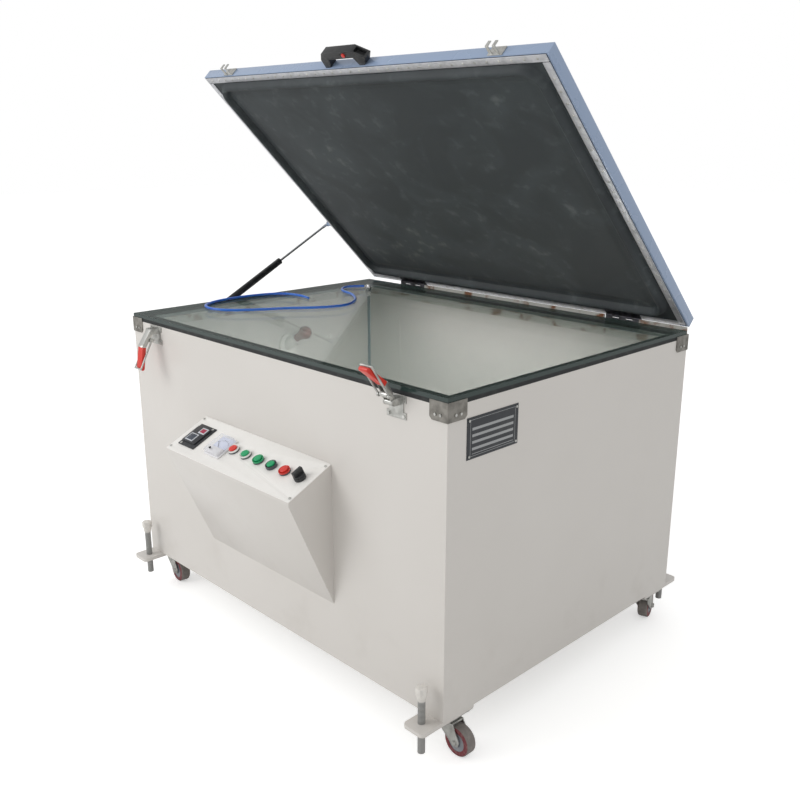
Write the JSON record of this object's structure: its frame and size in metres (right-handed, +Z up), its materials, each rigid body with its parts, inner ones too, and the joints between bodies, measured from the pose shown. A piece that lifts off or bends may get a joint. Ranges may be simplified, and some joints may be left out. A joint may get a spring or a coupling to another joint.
{
  "type": "screen printing exposure unit",
  "caption": "Rolling vacuum exposure table for printing screens: glass bed, hinged lid frame with rubber blanket, draw latches, gas strut and sloped control box",
  "frame": {"origin": "on the floor under the centre of the cabinet, wheels resting on z = 0", "axes": "+X to the right seen from the front, +Y to the back where the lid's hinges are, +Z up; the front with the control box faces -Y"},
  "size_m": [1.3635, 1.1689, 1.6198],
  "materials": {
    "cream_enamel": "satin, worn",
    "grey_zinc": "dull zinc",
    "bed_glass": "clear, greenish",
    "black_rubber": "matte",
    "zinc_screw": "zinc plated",
    "silver_fascia": "satin",
    "grey_instrument": "gloss",
    "bright_metal": "polished",
    "plate_dark": "anodised",
    "white_ceramic": "gloss",
    "equipment_grey": "satin",
    "black_plastic": "moulded",
    "red_glass": "gloss",
    "blue_hose": "smooth",
    "dark_zinc": "dull",
    "blue_enamel": "gloss",
    "aluminium_strip": "satin",
    "black_enamel": "gloss",
    "lever_zinc": "zinc with a red sleeve",
    "wheel_polyurethane": "worn",
    "red_plastic": "gloss",
    "green_plastic": "gloss",
    "white_steel_bolt": "painted over"
  },
  "bodies": {
    "cabinet": {"body_panels": "cream_enamel", "rear_panel": "cream_enamel", "base_pan": "cream_enamel", "top_frame": "grey_zinc", "access_door": "cream_enamel", "bed_glass": "bed_glass", "glass_gasket": "black_rubber", "corner_brackets": "grey_zinc", "cabinet_screws": "zinc_screw", "control_box": "cream_enamel", "control_fascia": "silver_fascia", "timer_module": "grey_instrument", "ammeter": "grey_instrument", "button_collars": "bright_metal", "nameplate": "plate_dark", "lamp": "white_ceramic", "lamp_reflector": "bright_metal", "ballast": "equipment_grey", "vacuum_pump": "equipment_grey", "fan_housing": "black_plastic", "safelight_holder": "white_ceramic", "safelight_bulb": "red_glass", "vacuum_fitting": "bright_metal", "vacuum_hose": "blue_hose", "latch_bases": "grey_zinc", "hinge_leaves": "dark_zinc", "caster_plates": "grey_zinc", "cable_gland": "black_plastic"},
    "lid": {"lid_frame": "blue_enamel", "vacuum_blanket": "black_rubber", "clamp_strips": "aluminium_strip", "lid_keepers": "grey_zinc", "lid_handle": "black_plastic", "lid_hinge_leaves": "dark_zinc"},
    "handle_button": {"handle_button": "red_plastic"},
    "strut_cylinder": {"strut_cylinder": "black_enamel"},
    "strut_rod": {"strut_rod": "bright_metal"},
    "latch_lever_left": {"latch_lever_left": "lever_zinc"},
    "latch_hook_left": {"latch_hook_left": "grey_zinc"},
    "latch_lever_right": {"latch_lever_right": "lever_zinc"},
    "latch_hook_right": {"latch_hook_right": "grey_zinc"},
    "caster_fork_fl": {"caster_fork_fl": "grey_zinc"},
    "caster_wheel_fl": {"caster_wheel_fl": "wheel_polyurethane"},
    "caster_fork_fr": {"caster_fork_fr": "grey_zinc"},
    "caster_wheel_fr": {"caster_wheel_fr": "wheel_polyurethane"},
    "caster_fork_bl": {"caster_fork_bl": "grey_zinc"},
    "caster_wheel_bl": {"caster_wheel_bl": "wheel_polyurethane"},
    "caster_fork_br": {"caster_fork_br": "grey_zinc"},
    "caster_wheel_br": {"caster_wheel_br": "wheel_polyurethane"},
    "button_red_ringed": {"button_red_ringed": "red_plastic"},
    "button_green_ringed": {"button_green_ringed": "green_plastic"},
    "button_green": {"button_green": "green_plastic"},
    "button_green_dark_ring": {"button_green_dark_ring": "green_plastic"},
    "button_red": {"button_red": "red_plastic"},
    "selector_knob": {"selector_knob": "black_plastic"},
    "fan_rotor": {"fan_rotor": "black_plastic"},
    "levelling_bolt_fl": {"levelling_bolt_fl": "white_steel_bolt"},
    "levelling_bolt_fr": {"levelling_bolt_fr": "white_steel_bolt"},
    "levelling_bolt_bl": {"levelling_bolt_bl": "white_steel_bolt"},
    "levelling_bolt_br": {"levelling_bolt_br": "white_steel_bolt"}
  },
  "joints": [
    {"name": "lid_hinge", "type": "hinge", "parent": "cabinet", "child": "lid", "pos_m": [0, 0.4883, 0.893], "axis": [1, 0, 0], "range_deg": [0, 44.4], "deforming": ["vacuum_blanket"]},
    {"name": "handle_button_press", "type": "slide", "parent": "lid", "child": "handle_button", "axis": [0, 0.6997, 0.7145], "range_m": [0, 0.003], "stiffness_N_per_m": 200},
    {"name": "strut_swing", "type": "hinge", "parent": "cabinet", "child": "strut_cylinder", "pos_m": [-0.665, -0.185, 0.85], "axis": [1, 0, 0], "range_deg": [-19.33, 0]},
    {"name": "strut_slide", "type": "slide", "parent": "strut_cylinder", "child": "strut_rod", "axis": [0, 0.8887, 0.4586], "range_m": [-0.14515, 0]},
    {"name": "latch_lever_left_pivot", "type": "hinge", "parent": "cabinet", "child": "latch_lever_left", "pos_m": [-0.52, -0.506, 0.851], "axis": [-1, 0, 0], "range_deg": [0, 119]},
    {"name": "latch_hook_left_pivot", "type": "hinge", "parent": "latch_lever_left", "child": "latch_hook_left", "pos_m": [-0.52, -0.51279, 0.82663], "axis": [1, 0, 0], "range_deg": [-176, 0]},
    {"name": "latch_lever_right_pivot", "type": "hinge", "parent": "cabinet", "child": "latch_lever_right", "pos_m": [0.499, -0.506, 0.851], "axis": [1, 0, 0], "range_deg": [0, 119]},
    {"name": "latch_hook_right_pivot", "type": "hinge", "parent": "latch_lever_right", "child": "latch_hook_right", "pos_m": [0.499, -0.52402, 0.86875], "axis": [1, 0, 0], "range_deg": [-94, 0]},
    {"name": "caster_swivel_fl", "type": "hinge", "parent": "cabinet", "child": "caster_fork_fl", "pos_m": [-0.615, -0.425, 0.08], "axis": [0, 0, 1], "continuous": true},
    {"name": "caster_spin_fl", "type": "hinge", "parent": "caster_fork_fl", "child": "caster_wheel_fl", "pos_m": [-0.58013, -0.42805, 0.0375], "axis": [0.0872, 0.9962, 0], "continuous": true},
    {"name": "caster_swivel_fr", "type": "hinge", "parent": "cabinet", "child": "caster_fork_fr", "pos_m": [0.615, -0.425, 0.08], "axis": [0, 0, 1], "continuous": true},
    {"name": "caster_spin_fr", "type": "hinge", "parent": "caster_fork_fr", "child": "caster_wheel_fr", "pos_m": [0.65, -0.425, 0.0375], "axis": [0, 1, 0], "continuous": true},
    {"name": "caster_swivel_bl", "type": "hinge", "parent": "cabinet", "child": "caster_fork_bl", "pos_m": [-0.615, 0.425, 0.08], "axis": [0, 0, 1], "continuous": true},
    {"name": "caster_spin_bl", "type": "hinge", "parent": "caster_fork_bl", "child": "caster_wheel_bl", "pos_m": [-0.58819, 0.4475, 0.0375], "axis": [-0.6428, 0.766, 0], "continuous": true},
    {"name": "caster_swivel_br", "type": "hinge", "parent": "cabinet", "child": "caster_fork_br", "pos_m": [0.615, 0.425, 0.08], "axis": [0, 0, 1], "continuous": true},
    {"name": "caster_spin_br", "type": "hinge", "parent": "caster_fork_br", "child": "caster_wheel_br", "pos_m": [0.60477, 0.45847, 0.0375], "axis": [-0.9563, -0.2924, 0], "continuous": true},
    {"name": "button_red_ringed_press", "type": "slide", "parent": "cabinet", "child": "button_red_ringed", "axis": [0, 0.4251, -0.9051], "range_m": [0, 0.004], "stiffness_N_per_m": 300},
    {"name": "button_green_ringed_press", "type": "slide", "parent": "cabinet", "child": "button_green_ringed", "axis": [0, 0.4251, -0.9051], "range_m": [0, 0.004], "stiffness_N_per_m": 300},
    {"name": "button_green_press", "type": "slide", "parent": "cabinet", "child": "button_green", "axis": [0, 0.4251, -0.9051], "range_m": [0, 0.004], "stiffness_N_per_m": 300},
    {"name": "button_green_dark_ring_press", "type": "slide", "parent": "cabinet", "child": "button_green_dark_ring", "axis": [0, 0.4251, -0.9051], "range_m": [0, 0.004], "stiffness_N_per_m": 300},
    {"name": "button_red_press", "type": "slide", "parent": "cabinet", "child": "button_red", "axis": [0, 0.4251, -0.9051], "range_m": [0, 0.004], "stiffness_N_per_m": 300},
    {"name": "selector_turn", "type": "hinge", "parent": "cabinet", "child": "selector_knob", "pos_m": [0.232, -0.54926, 0.60981], "axis": [0, -0.4251, 0.9051], "range_deg": [-45, 45]},
    {"name": "fan_spin", "type": "hinge", "parent": "cabinet", "child": "fan_rotor", "pos_m": [0.4, 0.463, 0.2], "axis": [0, 1, 0], "continuous": true},
    {"name": "levelling_fl", "type": "slide", "parent": "cabinet", "child": "levelling_bolt_fl", "axis": [0, 0, 1], "range_m": [-0.0495, 0.02]},
    {"name": "levelling_fr", "type": "slide", "parent": "cabinet", "child": "levelling_bolt_fr", "axis": [0, 0, 1], "range_m": [-0.0315, 0.02]},
    {"name": "levelling_bl", "type": "slide", "parent": "cabinet", "child": "levelling_bolt_bl", "axis": [0, 0, 1], "range_m": [-0.0395, 0.02]},
    {"name": "levelling_br", "type": "slide", "parent": "cabinet", "child": "levelling_bolt_br", "axis": [0, 0, 1], "range_m": [-0.0395, 0.02]}
  ],
  "couplings": [
    {"joint": "strut_swing", "follows": "lid_hinge", "ratio": -0.43502},
    {"joint": "strut_slide", "follows": "lid_hinge", "m_per_rad": -0.18718}
  ]
}
